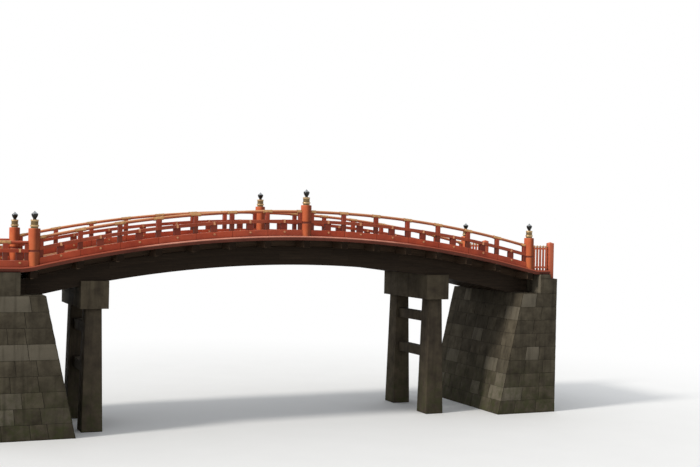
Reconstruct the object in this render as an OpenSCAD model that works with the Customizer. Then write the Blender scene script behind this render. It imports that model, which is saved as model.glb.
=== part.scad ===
// Arched timber footbridge with lacquered railings, carried by two stone trestle piers and two abutments.
// Frame: X along the bridge, Y across it, Z up, millimetres. Z = 0 is the foot of the piers.
// Heights called "over the deck" are measured straight up from the arched walking line.

/* [Arch] */
// Height of the walking line at the crown, above the foot of the piers
crown_z = 9300; // [8500:50:10500]
// Radius of the walking line
arch_r = 55290; // [50000:100:70000]
// Span of the arch between the end newels' centres
span = 26000; // [24000:100:30000]
// Bay beside a newel post, centre to centre
newel_bay = 2027.5; // [1700:5:2300]
// Bays in each half of the bridge
bays_per_half = 7; // [6:1:8]

/* [Deck] */
// Distance of the railing's centreline from the middle of the bridge
rail_y = 3420; // [3000:10:3800]
// Thickness of the deck boards
board_t = 120; // [80:5:160]
// Depth of the edge beams
edge_depth = 210; // [180:5:300]
// Width of the edge beams
edge_w = 300; // [200:5:360]
// How far the edge beam stands out beyond the railing's centreline
edge_out = 280; // [200:5:320]
// Height of the nosing along an edge beam's upper edge
nosing_h = 70; // [40:5:100]
// How far the nosing stands out from the edge beam below it
nosing_out = 22; // [10:2:40]
// Width of a joist
joist_w = 140; // [80:5:200]
// Spacing of the joists
joist_gap = 800; // [600:20:1000]
// Joists on each side of the middle one
joist_pairs = 4; // [3:1:4]

/* [Girders] */
// Width of a cross beam
cross_w = 300; // [200:10:400]
// Depth of a cross beam
cross_depth = 340; // [250:10:450]
// How far the cross beams' ends lie inside the edge beam's face
cross_inset = 60; // [20:5:120]
// Depth of a girder
girder_depth = 900; // [700:10:1050]
// Width of a girder
girder_w = 400; // [300:10:500]
// Spacing of the girders
girder_gap = 1100; // [900:10:1150]
// Height of the ledge along the top of an outer girder's face
ledge_h = 45; // [30:5:80]
// How far the ledge stands out from the outer girder's face
ledge_out = 50; // [20:5:80]

/* [Railing] */
// Height of the base rail
base_h = 310; // [200:5:400]
// Thickness of the base rail
base_t = 270; // [240:5:320]
// Underside of the middle rail over the deck
mid_z = 640; // [560:5:720]
// Height of the middle rail
mid_h = 160; // [100:5:200]
// Thickness of the middle rail
mid_t = 225; // [210:5:260]
// Width of the open joint where two lengths of a flat rail meet over a post
rail_joint = 14; // [4:1:30]
// Centre of the round top rail over the deck
top_z = 1195; // [1100:5:1400]
// Radius of the round top rail
top_r = 75; // [50:1:90]
// Width of a full post, along the bridge
post_w = 205; // [160:5:300]
// Thickness of a full post, across the bridge: the flat rails stand out from it on both sides
post_t = 200; // [185:5:230]
// Width of a short post, along the bridge
short_w = 310; // [200:5:350]
// Thickness of a short post, across the bridge
short_t = 180; // [120:5:230]
// Length of a metal sleeve on the top rail
sleeve_len = 480; // [300:10:600]
// Wall of a metal sleeve
sleeve_t = 9; // [4:1:15]

/* [Newel posts] */
// Radius of a newel post
newel_r = 262; // [200:2:290]
// Top of the middle newels' shaft over the deck
newel_h = 1530; // [1450:5:1800]
// Extra height of the newels at the ends
newel_end_extra = 147; // [0:1:200]
// Radius of the shaft's rounded shoulder
shoulder_r = 45; // [20:5:80]
// Underside of the groove round the shaft, over the deck
groove_z = 610; // [500:5:700]
// Height of the groove
groove_h = 100; // [60:5:120]
// Depth of the groove
groove_d = 20; // [8:1:30]
// Outer edge of the narrow post beside a newel, from the newel's centre
half_post_reach = 400; // [360:5:450]

/* [Finials] */
// Radius of the neck above the newel's shaft
neck_r = 165; // [130:5:190]
// Height of the neck
neck_h = 385; // [340:5:420]
// Height of a band round the neck
band_h = 75; // [50:5:90]
// How far a band stands out from the neck
band_out = 14; // [6:1:24]
// Underside of the lower band above the foot of the neck
lower_band_z = 95; // [20:5:110]
// Height of the neck's rim above the upper band
neck_rim = 15; // [5:1:40]
// Radius of the stem between the neck and the bulb
stem_r = 72; // [50:2:85]
// Length of the stem
stem_h = 60; // [30:5:80]
// Radius of the bulb at its widest
bulb_r = 150; // [125:2:175]
// Height of the bulb's widest place above the neck
bulb_rise = 235; // [200:5:270]
// Radius of the bulb's rounded edge
bulb_edge_r = 70; // [50:2:80]
// Height of the finial's tip above the neck
finial_h = 400; // [370:5:460]
// How hollow the slope up to the tip is
tip_sag = 12; // [6:1:18]

/* [Wings] */
// Distance beyond the end newels at which the deck turns level
level_run = 300; // [250:10:400]
// Bay of the left wing's railing
wing_bay = 1240; // [1000:10:1500]
// Height of the left wing's top rail centre over the deck
wing_top_z = 1105; // [1000:5:1200]
// Underside of the left wing's middle rail over the deck
wing_mid_z = 660; // [560:5:720]
// Centre of the right wing's end post beyond the newel
wing_post_x = 1370; // [1300:10:1600]
// Side of the right wing's end post
wing_post_w = 300; // [200:5:350]
// Height of the right wing's end post above its step
wing_post_h = 2000; // [1800:10:2200]
// Height of the pointed top of the end post
post_point = 70; // [40:5:100]
// Top of the pickets over the deck
picket_h = 1350; // [1200:10:1500]
// Width of a picket
picket_w = 110; // [60:5:130]
// Thickness of a picket
picket_t = 70; // [30:5:80]
// Height of a picket's pointed top
picket_point = 45; // [20:5:60]
// Number of pickets
pickets = 5; // [4:1:6]
// Height of a picket rail
picket_rail_h = 100; // [60:5:120]
// Thickness of a picket rail
picket_rail_t = 50; // [30:5:60]
// Underside of the lower picket rail over the deck
picket_rail_z = 120; // [60:5:200]
// Gap between the upper picket rail and the tops of the pickets
picket_head = 120; // [80:5:200]

/* [Piers] */
// Centre of the left pier, inwards from the end newels
left_pier_in = 2900; // [2850:50:3500]
// Centre of the right pier, inwards from the end newels
right_pier_in = 5080; // [4000:20:6000]
// Length of a pier cap across the bridge
cap_len = 5200; // [5000:50:5800]
// Width of a pier cap along the bridge
cap_w = 1300; // [1100:10:1500]
// Height of a pier cap
cap_h = 1300; // [1000:10:1500]
// Distance of a pier post's centre from the middle of the bridge
pier_post_y = 1950; // [1700:10:2100]
// Width of a pier post at its head, along the bridge
pier_post_w = 750; // [600:10:900]
// Width of a pier post at its head, across the bridge
pier_post_d = 850; // [600:10:900]
// Batter of the pier posts, sideways run per unit of height
pier_batter = 0.02; // [0:0.005:0.03]
// Thickness of a tie beam along the bridge
tie_w = 460; // [300:10:600]
// Height of a tie beam
tie_h = 500; // [300:10:600]
// Gap between the cap and the upper tie beam
upper_tie_gap = 740; // [500:10:900]
// Gap between the upper and the lower tie beam
lower_tie_gap = 1380; // [1000:10:1600]

/* [Abutments] */
// Top of the abutment's river face, inwards from the end newels
seat_in = 500; // [200:20:600]
// Batter of the river face, sideways run per unit of height
seat_batter = 0.222; // [0.1:0.002:0.23]
// How far an abutment's sides stand out beyond the edge beams
side_out = 60; // [20:5:150]
// Start of the back wall behind the girders' ends, beyond the end newels
back_out = 600; // [500:10:700]
// Clearance between the girders' ends and the back wall
end_gap = 20; // [5:5:50]
// Depth of the step that carries the right wing's end post, below the level deck
post_step = 450; // [300:10:600]
// Margin of the masonry beyond the last posts
end_margin = 110; // [50:10:200]

/* [Hidden] */

vermilion = "#b5321f";
black = "#1c1a1a";
boards = "#a5673f";
gilt = "#c9a24a";
bronze = "#2b2a2c";
stone = "#77766d";

round_fn = 48;
no_limit = 40000;
// Running gap of the metal sleeves, and of the timbers' lengths where they butt
fit_gap = 0.3;

// Stations of the newels and full posts, from the middle of the bridge
end_x = span / 2;
bay = (end_x - 2 * newel_bay) / (bays_per_half - 2);
post_xs = [for (k = [0 : bays_per_half - 2]) newel_bay + k * bay];
side_post_xs = concat([for (x = post_xs) -x], post_xs);
newel_xs = [-end_x, 0, end_x];
station_xs = concat(newel_xs, side_post_xs);
half_stations = concat([0], post_xs, [end_x]);

// Stations of the short posts, in the middle of each clear bay
first_short_x = (half_post_reach + newel_bay - post_w / 2) / 2;
short_xs = concat(
    [first_short_x, end_x - first_short_x],
    [for (k = [0 : bays_per_half - 3]) newel_bay + (k + 0.5) * bay]
);

// Levels over the deck: edge beams, cross beams and girders hang below it
girder_top = -edge_depth - cross_depth;
girder_bottom = girder_top - girder_depth;
deck_edge = rail_y + edge_out - edge_w;
edge_face = rail_y + edge_out;

// Places of the piers, and of the abutments' steps
left_pier_x = end_x - left_pier_in;
right_pier_x = end_x - right_pier_in;
seat_x = end_x - seat_in;
back_x = end_x + back_out;
abutment_y = edge_face + side_out;

// Level ends of the deck
level_x = end_x + level_run;
level_z = deck_z(level_x);
left_post_xs = [end_x + wing_bay, end_x + 2 * wing_bay];
right_post_centre = end_x + wing_post_x;
left_reach = end_x + 2 * wing_bay + post_w / 2 + end_margin;
right_reach = right_post_centre + wing_post_w / 2 + end_margin;
right_deck_x = right_post_centre - wing_post_w / 2;
girder_end = back_x - end_gap;

// The bridge stands with the middle of its whole length on the origin
crown_x = (left_reach - right_reach) / 2;

// The arch is built of straight stretches, half a bay long, that meet at these stations
half_line_xs = concat(
    [for (k = [0 : len(half_stations) - 2])
        each [half_stations[k], (half_stations[k] + half_stations[k + 1]) / 2]],
    [end_x, level_x, no_limit]
);
line_xs = concat([for (k = [len(half_line_xs) - 1 : -1 : 1]) -half_line_xs[k]], half_line_xs);

// Height of the walking line at x: an arc of a circle, then level
function deck_z(x) = crown_z - arch_r + sqrt(pow(arch_r, 2) - pow(min(abs(x), level_x), 2));

module placed() {
    translate([crown_x, 0, 0]) children();
}

module far_side() {
    mirror([0, 1, 0]) children();
}

// Extrudes an outline drawn in X and Z from y0 to y1
module across(y0, y1) {
    translate([0, y1, 0]) rotate([90, 0, 0]) linear_extrude(y1 - y0) children();
}

// Places where the long timbers are spliced, over every second cross beam from the middle
half_splice_xs = [for (k = [0 : 2 : len(post_xs) - 1]) post_xs[k]];
splice_xs = concat([for (x = half_splice_xs) -x], half_splice_xs);

// Outline between two lines that run low and high over the deck, from x0 to x1
module band(low, high, x0, x1) {
    count = len(line_xs) - 1;
    intersection() {
        polygon(concat(
            [for (k = [0 : count]) [line_xs[k], deck_z(line_xs[k]) + high]],
            [for (k = [count : -1 : 0]) [line_xs[k], deck_z(line_xs[k]) + low]]
        ));
        translate([x0, -no_limit]) square([x1 - x0, 3 * no_limit]);
    }
}

// Cuts an outline into the lengths of timber that it is made of
module in_lengths() {
    difference() {
        children();
        for (x = splice_xs) upright(x, fit_gap);
    }
}

// Upright outline of width w about x, over the whole height
module upright(x, w) {
    translate([x - w / 2, -no_limit]) square([w, 3 * no_limit]);
}

// Upright outline of width w about x, from z0 to z1
module block(x, w, z0, z1) {
    translate([x - w / 2, z0]) square([w, z1 - z0]);
}

// Upright outline with a pointed top, standing on zero
module pointed(w, h, point) {
    polygon([[-w / 2, 0], [w / 2, 0], [w / 2, h - point], [0, h], [-w / 2, h - point]]);
}

// Deck

module deck_boards() placed() color(boards) {
    across(-deck_edge, deck_edge) band(-board_t, 0, -left_reach, right_deck_x);
}

module joists() placed() color(black) {
    for (k = [-joist_pairs : joist_pairs])
        across(k * joist_gap - joist_w / 2, k * joist_gap + joist_w / 2)
            band(-edge_depth, -board_t, -end_x - cross_w / 2, end_x + cross_w / 2);
}

module cross_beams() placed() color(black) {
    reach = edge_face - cross_inset;
    across(-reach, reach) intersection() {
        band(girder_top, -edge_depth, -no_limit, no_limit);
        for (x = station_xs) upright(x, cross_w);
    }
}

module edge_outline() {
    band(-edge_depth, 0, -left_reach, right_deck_x);
}

// Edge beam with a nosing that stands out along its upper edge
module edge_beam() placed() color(vermilion) {
    across(-edge_face + nosing_out, -deck_edge) in_lengths() edge_outline();
    across(-edge_face, -deck_edge) in_lengths() band(-nosing_h, 0, -left_reach, right_deck_x);
}

// Girders

module girder_outline() {
    band(girder_bottom, girder_top, -girder_end, girder_end);
}

// Extrudes an outline at each of the girders' places
module across_girders(places) {
    for (k = places) across(k * girder_gap - girder_w / 2, k * girder_gap + girder_w / 2) children();
}

// Outer girders, each with a ledge along the top of its outer face
module outer_girders() placed() color(black) {
    ledge_w = girder_w + ledge_out;
    outer_y = 2 * girder_gap + girder_w / 2 + ledge_out;
    across_girders([-2, 2]) in_lengths() girder_outline();
    for (y = [-outer_y, outer_y - ledge_w])
        across(y, y + ledge_w) in_lengths() band(girder_top - ledge_h, girder_top, -girder_end, girder_end);
}

module inner_girders() placed() color(black) {
    across_girders([-1, 0, 1]) in_lengths() girder_outline();
}

// Room for the newels' shafts in everything that butts against them
module newel_room() {
    for (x = newel_xs) translate([x, -rail_y, 0]) cylinder(r = newel_r, h = crown_z * 2, $fn = round_fn);
}

// Outline of the full posts and the narrow posts beside the newels
module post_outlines() {
    for (x = side_post_xs) upright(x, post_w);
    for (x = newel_xs, side = [-1, 1])
        if (x < end_x || side < 0) upright(x + side * half_post_reach / 2, half_post_reach);
}

module full_posts() placed() color(vermilion) {
    y0 = -rail_y - post_t / 2;
    difference() {
        across(y0, y0 + post_t) intersection() {
            band(0, top_z, -no_limit, no_limit);
            post_outlines();
        }
        newel_room();
        for (x = side_post_xs) sleeve_bar(x, sleeve_r);
        for (k = [0, 1], side = [-1, 1]) newel_bar(side, k, sleeve_r, no_limit);
    }
}

module short_posts() placed() color(vermilion) {
    y0 = -rail_y - short_t / 2;
    across(y0, y0 + short_t) intersection() {
        band(base_h, mid_z, -end_x, end_x);
        for (x = short_xs, side = [-1, 1]) upright(side * x, short_w);
    }
}

// Mortises for the full posts and the narrow posts, in everything that they pass through
module post_room() {
    y0 = -rail_y - post_t / 2;
    across(y0, y0 + post_t) post_outlines();
}

// A flat rail in lengths that meet over the full posts: the posts pass through it
module flat_rail(low, high, thickness) {
    y0 = -rail_y - thickness / 2;
    difference() {
        across(y0, y0 + thickness) difference() {
            band(low, high, -end_x, end_x);
            for (x = side_post_xs) upright(x, rail_joint);
        }
        post_room();
        newel_room();
    }
}

module base_rail() placed() color(vermilion) {
    flat_rail(0, base_h, base_t);
}

module middle_rail() placed() color(vermilion) {
    flat_rail(mid_z, mid_z + mid_h, mid_t);
}

// Top rail: straight round lengths from station to station, which meet inside the sleeves

// Fall of a chord of the arch between two stations, as an angle
function fall(x0, x1) = atan2(deck_z(x0) - deck_z(x1), x1 - x0);

// Round bar from x0 to x1 along the top rail, held back by trim at its ends
module rail_bar(x0, x1, r, trim) {
    angle = fall(x0, x1);
    length = (x1 - x0) / cos(angle);
    translate([x0, -rail_y, deck_z(x0) + top_z]) rotate([0, 90 + angle, 0])
        translate([0, 0, trim]) cylinder(r = r, h = length - 2 * trim, $fn = round_fn);
}

// The widest turn between two lengths of the rail, halved
half_turn = max(bay, newel_bay) / arch_r / 2 * 180 / PI;
rail_trim = top_r * tan(half_turn) + fit_gap;
sleeve_bore = top_r + sleeve_len / 2 * tan(half_turn) + fit_gap;
sleeve_r = sleeve_bore + sleeve_t;

module top_rail() placed() color(vermilion) {
    difference() {
        for (k = [0 : len(half_stations) - 2], side = [-1, 1]) {
            x0 = side > 0 ? half_stations[k] : -half_stations[k + 1];
            x1 = side > 0 ? half_stations[k + 1] : -half_stations[k];
            rail_bar(x0, x1, top_r, rail_trim);
        }
        newel_room();
    }
}

// Bar along the sleeve over the post at x
module sleeve_bar(x, r) {
    angle = fall(x - bay / 2, x + bay / 2);
    translate([x, -rail_y, deck_z(x) + top_z]) rotate([0, 90 + angle, 0])
        cylinder(r = r, h = sleeve_len, center = true, $fn = round_fn);
}

// Bar along the rail beside the middle newel, k = 0, or an end newel, k = 1
module newel_bar(side, k, r, reach) {
    x0 = k * (end_x - newel_bay);
    x1 = x0 + newel_bay;
    intersection() {
        rail_bar(side > 0 ? x0 : -x1, side > 0 ? x1 : -x0, r, -newel_r / 2);
        translate([side * k * end_x, -rail_y, crown_z])
            cube([2 * reach, 4 * newel_r, 2 * crown_z], center = true);
    }
}

module rail_sleeves() placed() color(gilt) {
    for (x = side_post_xs) difference() {
        sleeve_bar(x, sleeve_r);
        sleeve_bar(x, sleeve_bore);
    }
    difference() {
        for (k = [0, 1], side = [-1, 1]) newel_bar(side, k, sleeve_r, newel_r + sleeve_len / 2);
        for (k = [0, 1], side = [-1, 1]) newel_bar(side, k, top_r + fit_gap, no_limit);
        newel_room();
    }
}

function shaft_h(k) = newel_h + abs(k) * newel_end_extra;

// Outline of a newel's shaft, from the axis outwards, from below the deck up to its rounded shoulder
module shaft_outline(h) {
    foot = -newel_r;
    difference() {
        union() {
            translate([0, foot]) square([newel_r, h - shoulder_r - foot]);
            translate([0, foot]) square([newel_r - shoulder_r, h - foot]);
            translate([newel_r - shoulder_r, h - shoulder_r]) circle(r = shoulder_r, $fn = round_fn);
        }
        translate([newel_r - groove_d, groove_z]) square([2 * groove_d, groove_h]);
    }
}

// Newel post, turned, and cut below to the arch it stands on
module newel(k) placed() color(vermilion) {
    x = k * end_x;
    difference() {
        translate([x, -rail_y, deck_z(x)]) rotate_extrude($fn = round_fn) shaft_outline(shaft_h(k));
        across(-rail_y - 2 * newel_r, -rail_y + 2 * newel_r) band(-no_limit, 0, -no_limit, no_limit);
    }
}

// Place where the line from p touches the circle of radius r about c, on the circle's outer side
function touch(p, c, r, side) =
    let (d = p - c, a = atan2(d.y, d.x) + side * acos(r / norm(d))) c + r * [cos(a), sin(a)];

// Outline of the finial's stem and bulb, from the axis outwards: the bulb has a rounded edge and a hollow tip
module bulb_outline() {
    centre = [bulb_r - bulb_edge_r, neck_h + bulb_rise];
    stem_top = [stem_r, neck_h + stem_h];
    tip = [0, neck_h + finial_h];
    lower = touch(stem_top, centre, bulb_edge_r, 1);
    upper = touch(tip, centre, bulb_edge_r, -1);
    half_slope = norm(tip - upper) / 2 - tip_sag;
    hollow_r = (pow(half_slope, 2) + pow(tip_sag, 2)) / (2 * tip_sag);
    outwards = (upper - centre) / bulb_edge_r;
    hollow = (upper + tip) / 2 + outwards * (hollow_r - tip_sag);
    difference() {
        union() {
            polygon([[0, neck_h], [stem_r, neck_h], stem_top, lower, upper, tip]);
            translate(centre) circle(r = bulb_edge_r, $fn = round_fn);
        }
        translate(hollow) circle(r = hollow_r, $fn = 4 * round_fn);
    }
}

// Outline of the whole finial: a neck with two bands, a stem and an onion-shaped bulb
module finial_outline() {
    square([neck_r, neck_h]);
    for (z = [lower_band_z, neck_h - neck_rim - band_h])
        translate([0, z]) square([neck_r + band_out, band_h]);
    bulb_outline();
}

module finial(k) placed() color(bronze) {
    x = k * end_x;
    translate([x, -rail_y, deck_z(x) + shaft_h(k)]) rotate_extrude($fn = round_fn) finial_outline();
}

// Left wing: level railing of the same make
module left_wing_railing() placed() color(vermilion) {
    x0 = -end_x - newel_r;
    x1 = -end_x - 2 * wing_bay;
    rail_x = x1 - post_w / 2;
    difference() {
        union() {
            across(-rail_y - base_t / 2, -rail_y + base_t / 2)
                translate([rail_x, level_z]) square([x0 - rail_x, base_h]);
            across(-rail_y - mid_t / 2, -rail_y + mid_t / 2)
                translate([rail_x, level_z + wing_mid_z]) square([x0 - rail_x, mid_h]);
            across(-rail_y - post_t / 2, -rail_y + post_t / 2)
                for (x = left_post_xs) block(-x, post_w, level_z, level_z + wing_top_z);
            across(-rail_y - short_t / 2, -rail_y + short_t / 2)
                for (x = left_post_xs) block(-x + wing_bay / 2, short_w, level_z, level_z + wing_mid_z);
            translate([x1 - post_w, -rail_y, level_z + wing_top_z]) rotate([0, 90, 0])
                cylinder(r = top_r, h = x0 - x1 + post_w, $fn = round_fn);
        }
        newel_room();
        post_room();
    }
}

// Right wing: short picket fence that is coped to the newel, and the square posts that end it
module right_wing_fence() placed() color(vermilion) {
    x0 = end_x + newel_r;
    x1 = right_deck_x;
    step = (x1 - x0) / pickets;
    upper_z = picket_h - picket_head - picket_rail_h;
    difference() {
        union() {
            across(-rail_y - picket_t / 2, -rail_y + picket_t / 2) for (k = [0 : pickets - 1])
                translate([x0 + (k + 0.5) * step, level_z]) pointed(picket_w, picket_h, picket_point);
            across(-rail_y - picket_rail_t / 2, -rail_y + picket_rail_t / 2)
                for (z = [picket_rail_z, upper_z])
                    translate([end_x, level_z + z]) square([x1 - end_x, picket_rail_h]);
        }
        newel_room();
    }
}

// Each end post is square, and its top rises to a point from all four sides
module right_end_posts() placed() color(vermilion) {
    reach = wing_post_w / 2;
    for (side = [-1, 1]) translate([right_post_centre, side * rail_y, level_z - post_step]) intersection() {
        across(-reach, reach) pointed(wing_post_w, wing_post_h, post_point);
        rotate([0, 0, 90]) across(-reach, reach) pointed(wing_post_w, wing_post_h, post_point);
    }
}

// Piers

function cap_top(x) = deck_z(x - cap_w / 2) + girder_bottom;
function cap_bottom(x) = cap_top(x) - cap_h;

module pier_cap(side, x) placed() color(stone) {
    difference() {
        across(-cap_len / 2, cap_len / 2) block(side * x, cap_w, cap_bottom(x), cap_top(x));
        across_girders([-2 : 2]) girder_outline();
    }
}

// Outline of a post that widens towards its foot
module battered_outline(w, h) {
    foot = w / 2 + h * pier_batter;
    polygon([[-foot, 0], [foot, 0], [w / 2, h], [-w / 2, h]]);
}

module pier_posts(side, x) placed() color(stone) {
    h = cap_bottom(x);
    for (y = [-pier_post_y, pier_post_y]) translate([side * x, y, 0]) intersection() {
        across(-pier_post_d, pier_post_d) battered_outline(pier_post_w, h);
        rotate([0, 0, 90]) across(-pier_post_w, pier_post_w) battered_outline(pier_post_d, h);
    }
}

module pier_ties(side, x) placed() color(stone) {
    upper = cap_bottom(x) - upper_tie_gap - tie_h;
    lower = upper - lower_tie_gap - tie_h;
    for (z = [lower, upper]) {
        inner = pier_post_y - pier_post_d / 2 - (cap_bottom(x) - z) * pier_batter;
        head = pier_post_y - pier_post_d / 2 - (cap_bottom(x) - z - tie_h) * pier_batter;
        translate([side * x - tie_w / 2, 0, z]) rotate([90, 0, 90]) linear_extrude(tie_w)
            polygon([[-inner, 0], [inner, 0], [head, tie_h], [-head, tie_h]]);
    }
}

// Abutments

// Outline of the right abutment out to reach: battered face, seat for the girders, back wall
module abutment_outline(reach) {
    seat_z = deck_z(seat_x) + girder_bottom;
    wall_z = level_z - board_t;
    polygon([
        [seat_x - seat_z * seat_batter, 0], [reach, 0], [reach, wall_z],
        [back_x, wall_z], [back_x, seat_z], [seat_x, seat_z]
    ]);
}

// What the masonry leaves free: the girders' ends, and a ledge under each edge beam
module let_in_timbers() {
    clear_y = abutment_y + side_out;
    across_girders([-2 : 2]) girder_outline();
    across(-clear_y, -deck_edge) edge_outline();
    across(deck_edge, clear_y) edge_outline();
}

module right_abutment() placed() color(stone) {
    difference() {
        across(-abutment_y, abutment_y) difference() {
            abutment_outline(right_reach);
            translate([right_deck_x, level_z - post_step]) square(right_reach);
        }
        let_in_timbers();
    }
}

module left_abutment() placed() color(stone) {
    difference() {
        mirror([1, 0, 0]) across(-abutment_y, abutment_y) abutment_outline(left_reach);
        let_in_timbers();
    }
}

deck_boards();
joists();
cross_beams();
outer_girders();
inner_girders();
edge_beam();  // edge_beam_near
far_side() edge_beam();  // edge_beam_far
base_rail();  // base_rail_near
far_side() base_rail();  // base_rail_far
middle_rail();  // middle_rail_near
far_side() middle_rail();  // middle_rail_far
top_rail();  // top_rail_near
far_side() top_rail();  // top_rail_far
rail_sleeves();  // rail_sleeves_near
far_side() rail_sleeves();  // rail_sleeves_far
full_posts();  // full_posts_near
far_side() full_posts();  // full_posts_far
short_posts();  // short_posts_near
far_side() short_posts();  // short_posts_far
newel(-1);  // newel_near_left
newel(0);  // newel_near_middle
newel(1);  // newel_near_right
far_side() newel(-1);  // newel_far_left
far_side() newel(0);  // newel_far_middle
far_side() newel(1);  // newel_far_right
finial(-1);  // finial_near_left
finial(0);  // finial_near_middle
finial(1);  // finial_near_right
far_side() finial(-1);  // finial_far_left
far_side() finial(0);  // finial_far_middle
far_side() finial(1);  // finial_far_right
left_wing_railing();  // left_wing_railing_near
far_side() left_wing_railing();  // left_wing_railing_far
right_wing_fence();  // right_wing_fence_near
far_side() right_wing_fence();  // right_wing_fence_far
right_end_posts();
pier_posts(-1, left_pier_x);  // left_pier_posts
pier_ties(-1, left_pier_x);  // left_pier_ties
pier_cap(-1, left_pier_x);  // left_pier_cap
pier_posts(1, right_pier_x);  // right_pier_posts
pier_ties(1, right_pier_x);  // right_pier_ties
pier_cap(1, right_pier_x);  // right_pier_cap
left_abutment();
right_abutment();
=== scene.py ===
import math
import random
from itertools import product

import bmesh
import bpy
from mathutils import Matrix, Vector, noise


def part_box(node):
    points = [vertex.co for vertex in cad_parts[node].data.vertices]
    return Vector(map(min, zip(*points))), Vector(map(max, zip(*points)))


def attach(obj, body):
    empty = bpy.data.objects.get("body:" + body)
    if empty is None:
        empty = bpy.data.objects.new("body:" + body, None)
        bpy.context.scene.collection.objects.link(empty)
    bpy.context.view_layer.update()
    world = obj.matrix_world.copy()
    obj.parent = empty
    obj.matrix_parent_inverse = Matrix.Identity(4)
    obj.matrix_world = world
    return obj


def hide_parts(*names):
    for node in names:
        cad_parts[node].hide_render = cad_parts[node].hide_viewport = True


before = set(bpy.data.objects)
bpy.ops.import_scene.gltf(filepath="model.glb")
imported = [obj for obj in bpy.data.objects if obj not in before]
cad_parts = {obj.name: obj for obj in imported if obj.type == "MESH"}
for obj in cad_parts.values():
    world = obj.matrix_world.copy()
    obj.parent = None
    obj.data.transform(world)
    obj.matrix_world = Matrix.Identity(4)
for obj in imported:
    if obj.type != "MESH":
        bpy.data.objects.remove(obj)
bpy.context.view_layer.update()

dice = random.Random(11)

# Arch of the walking line, in metres, x measured from the crown
CROWN_Z = 9.3
ARCH_R = 55.29
END_X = 13.0
LEVEL_X = 13.3
NEWEL_BAY = 2.0275
BAY = 1.789
RAIL_Y = 3.42

# Railing, heights over the deck
BASE_H, BASE_T, BASE_CUT = 0.31, 0.27, 0.014
MID_Z, MID_H, MID_T, MID_CUT = 0.64, 0.16, 0.225, 0.016
TOP_Z, TOP_R = 1.195, 0.075
TUBE_SIDES = 20
RAIL_JOINT = 0.014
RAIL_BITE, SLEEVE_BITE, SHORT_BITE = 0.03, 0.02, 0.02
POST_W, POST_T, POST_CUT = 0.205, 0.20, 0.012
SHORT_W, SHORT_T = 0.31, 0.18
NARROW_OUT, NARROW_IN = 0.40, 0.2
NEWEL_R = 0.262
NEWEL_H, NEWEL_END_EXTRA = 1.53, 0.147
NECK_R, BULB_R = 0.165, 0.150

# Fittings of the railing
SLEEVE_LEN, SLEEVE_R = 0.48, TOP_R + 0.011
BEAD_W, BEAD_OUT = 0.022, 0.010
COVER_Z, COVER_R, COVER_SIDES = 0.205, 0.062, 36
CLASP, CLASP_CUT = (0.10, MID_T + 0.012, MID_H + 0.012), 0.014
CLASP_RIM = (0.014, MID_T + 0.022, MID_H + 0.022)

# Wings
WING_BAY = 1.24
WING_DROP = 0.09
WING_MID = 0.66

# Deck and girders
BOARD_T = 0.12
NAIL_ROWS = (-3.0, -1.8, -0.6, 0.6, 1.8, 3.0)
DECK_EDGE = 3.40
EDGE_FACE = 3.70
EDGE_DEPTH = 0.21
GIRDER_TOP, GIRDER_BOTTOM = -0.55, -1.45
GIRDER_FACE = 2.40
GIRDER_END = 13.58
LEDGE_H, LEDGE_OUT = 0.045, 0.05

# Masonry
SEAT_X, SEAT_BATTER, BACK_X = 12.5, 0.222, 13.6
ABUTMENT_Y = 3.76
POST_STEP = 0.45
COURSE_H, STONE_LEN, STONE_PROUD = 0.74, 1.12, 0.03

# Pale stretch of the nosing, from bleaching and from painted sunlight: its middle from the crown, where it
# fades, and how raggedly
BLEACHED_AND_LIT_MIDDLE, BLEACHED_AND_LIT_FADE, BLEACHED_AND_LIT_RAGGED = -1.5, (6.9, 9.7), 3.0

# Light: strength of the surroundings and of the sun, the sun's width in degrees, and where it stands
FILL = 0.72
SUN = 2.3
SUN_SPREAD = 9
SUN_FROM = (-0.86, -0.16, 0.62)

# Camera: its eye measured from the crown of the walking line, its turns in degrees
EYE = (-20.17, -54.14, 0.335)
YAW, PITCH, ROLL = 23.98, -0.168, 1.223
LENS = 56.84

low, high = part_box("newel_near_middle")
CROWN_X = (low.x + high.x) / 2
DECK_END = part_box("deck_boards")[1].x - CROWN_X
SIDES = {"near": -1, "far": 1}
RAILINGS = {"near": -RAIL_Y, "far": RAIL_Y}
NEWELS = {"left": -END_X, "middle": 0.0, "right": END_X}
HALF_POSTS = [NEWEL_BAY + k * BAY for k in range(6)]
FULL_POSTS = sorted([-x for x in HALF_POSTS] + HALF_POSTS)
CROSS_BEAMS = sorted([*NEWELS.values(), *FULL_POSTS])
FIRST_SHORT = (NARROW_OUT + NEWEL_BAY - POST_W / 2) / 2
HALF_SHORTS = [FIRST_SHORT] + [NEWEL_BAY + (k + 0.5) * BAY for k in range(5)] + [END_X - FIRST_SHORT]
SHORT_POSTS = sorted([-x for x in HALF_SHORTS] + HALF_SHORTS)


def deck_z(x):
    """Height of the walking line at x from the crown."""
    return CROWN_Z - ARCH_R + math.sqrt(ARCH_R ** 2 - min(abs(x), LEVEL_X) ** 2)


def fall(x):
    """Angle at which the walking line falls towards +X."""
    return math.asin(x / ARCH_R) if abs(x) < LEVEL_X else 0.0


LEVEL_Z = deck_z(LEVEL_X)


def level_line(x):
    """Height of the deck in the wings, the same all along."""
    return LEVEL_Z


def no_fall(x):
    """Fall of the deck in the wings."""
    return 0.0


def spread(x0, x1, step):
    """Evenly spaced places from x0 to x1, no further apart than step."""
    count = max(1, math.ceil((x1 - x0) / step))
    return [x0 + (x1 - x0) * k / count for k in range(count + 1)]


def around(sides):
    """Angles of evenly spaced corners round a circle."""
    return [2 * math.pi * i / sides for i in range(sides)]


def at(x, y, z, turn=0.0):
    """Placing matrix at x from the crown, turned about Y by the fall of the arch."""
    return Matrix.Translation((CROWN_X + x, y, z)) @ Matrix.Rotation(turn, 4, "Y")


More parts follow.
